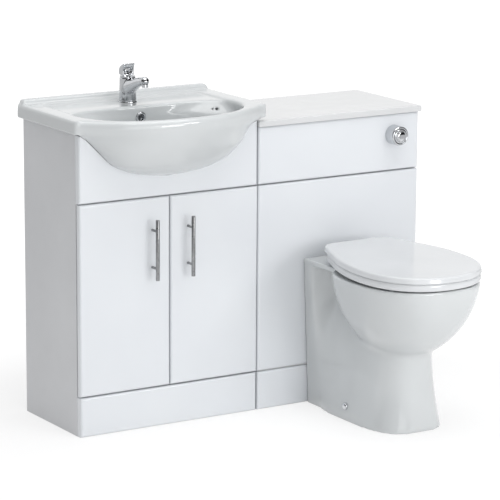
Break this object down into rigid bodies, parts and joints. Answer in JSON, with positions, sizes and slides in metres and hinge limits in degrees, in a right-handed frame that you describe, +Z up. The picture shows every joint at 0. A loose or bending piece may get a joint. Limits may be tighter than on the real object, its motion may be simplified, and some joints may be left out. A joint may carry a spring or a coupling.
{
  "type": "vanity and toilet unit",
  "caption": "White gloss bathroom suite: a basin cabinet with hinged doors and a mixer tap, joined to a cistern cabinet with a back-to-wall pan, seat and lid.",
  "frame": {"origin": "middle of the bottom of the suite's box, on the floor", "axes": "+X to the right as seen from the front, +Y from the front to the wall, +Z up"},
  "size_m": [1.043, 0.812, 0.906],
  "materials": {
    "gloss_front": "gloss",
    "worktop": "gloss",
    "carcass": "satin",
    "glaze": "gloss",
    "seat_plastic": "gloss",
    "chrome": "polished",
    "satin_steel": "satin",
    "steel": "satin",
    "white_plastic": "satin",
    "rubber": "matte"
  },
  "bodies": {
    "cabinet": {"basin": "glaze", "basin_waste": "chrome", "bottle_trap": "white_plastic", "cabinet_bolts": "steel", "cistern_lid": "white_plastic", "cistern_shelf": "carcass", "cistern_tank": "white_plastic", "fill_valve": "white_plastic", "flush_bezel": "chrome", "flush_button_nut": "white_plastic", "flush_pipe": "white_plastic", "flush_valve": "white_plastic", "hinge_arms": "steel", "joint_blocks": "white_plastic", "overflow_ring": "chrome", "pan": "glaze", "pan_screw_caps": "white_plastic", "seat_hinge_posts": "steel", "tap_aerator": "chrome", "tap_base_ring": "chrome", "tap_body": "chrome", "tap_fixing": "steel", "trap_outlet": "white_plastic", "vanity_back_rails": "carcass", "vanity_base": "carcass", "vanity_fascia": "gloss_front", "vanity_front_rail": "carcass", "vanity_left_side": "carcass", "vanity_plinth": "gloss_front", "vanity_right_side": "carcass", "wall_brackets": "steel", "waste_nut": "white_plastic", "wc_back_rails": "carcass", "wc_fascia": "gloss_front", "wc_front_panel": "gloss_front", "wc_front_rail": "carcass", "wc_left_side": "carcass", "wc_plinth": "gloss_front", "wc_right_side": "carcass", "wc_worktop": "worktop"},
    "left_door": {"left_door": "gloss_front", "left_hinge_cups": "steel", "left_handle_bar": "satin_steel", "left_handle_posts": "satin_steel"},
    "right_door": {"right_door": "gloss_front", "right_hinge_cups": "steel", "right_handle_bar": "satin_steel", "right_handle_posts": "satin_steel"},
    "tap_stem": {"tap_stem": "chrome"},
    "tap_lever": {"tap_lever": "chrome"},
    "waste_plug": {"waste_plug": "chrome"},
    "full_flush_button": {"full_flush_button": "chrome"},
    "half_flush_button": {"half_flush_button": "chrome"},
    "fill_float": {"fill_float": "white_plastic"},
    "seat": {"seat": "seat_plastic", "seat_buffers": "rubber"},
    "lid": {"lid": "seat_plastic", "lid_buffers": "rubber"}
  },
  "joints": [
    {"name": "left_door_swing", "type": "hinge", "parent": "cabinet", "child": "left_door", "pos_m": [-0.4955, 0.117, 0.35025], "axis": [0, 0, -1], "range_deg": [0, 95]},
    {"name": "right_door_swing", "type": "hinge", "parent": "cabinet", "child": "right_door", "pos_m": [0.0085, 0.117, 0.35025], "axis": [0, 0, 1], "range_deg": [0, 95]},
    {"name": "tap_turn", "type": "hinge", "parent": "cabinet", "child": "tap_stem", "pos_m": [-0.2435, 0.327, 0.87], "axis": [0, 0, 1], "range_deg": [-45, 45]},
    {"name": "tap_lift", "type": "hinge", "parent": "tap_stem", "child": "tap_lever", "pos_m": [-0.2435, 0.339, 0.8798], "axis": [-1, 0, 0], "range_deg": [0, 22]},
    {"name": "plug_lift", "type": "slide", "parent": "cabinet", "child": "waste_plug", "axis": [0, 0, 1], "range_m": [0, 0.008]},
    {"name": "full_flush_press", "type": "slide", "parent": "cabinet", "child": "full_flush_button", "axis": [0, 1, 0], "range_m": [0, 0.006], "stiffness_N_per_m": 600},
    {"name": "half_flush_press", "type": "slide", "parent": "cabinet", "child": "half_flush_button", "axis": [0, 1, 0], "range_m": [0, 0.006], "stiffness_N_per_m": 600},
    {"name": "float_rise", "type": "slide", "parent": "cabinet", "child": "fill_float", "axis": [0, 0, 1], "range_m": [0, 0.06]},
    {"name": "seat_lift", "type": "hinge", "parent": "cabinet", "child": "seat", "pos_m": [0.2665, 0.028, 0.407], "axis": [-1, 0, 0], "range_deg": [0, 91]},
    {"name": "lid_lift", "type": "hinge", "parent": "seat", "child": "lid", "pos_m": [0.2665, 0.028, 0.407], "axis": [1, 0, 0], "range_deg": [-91, 0]}
  ]
}
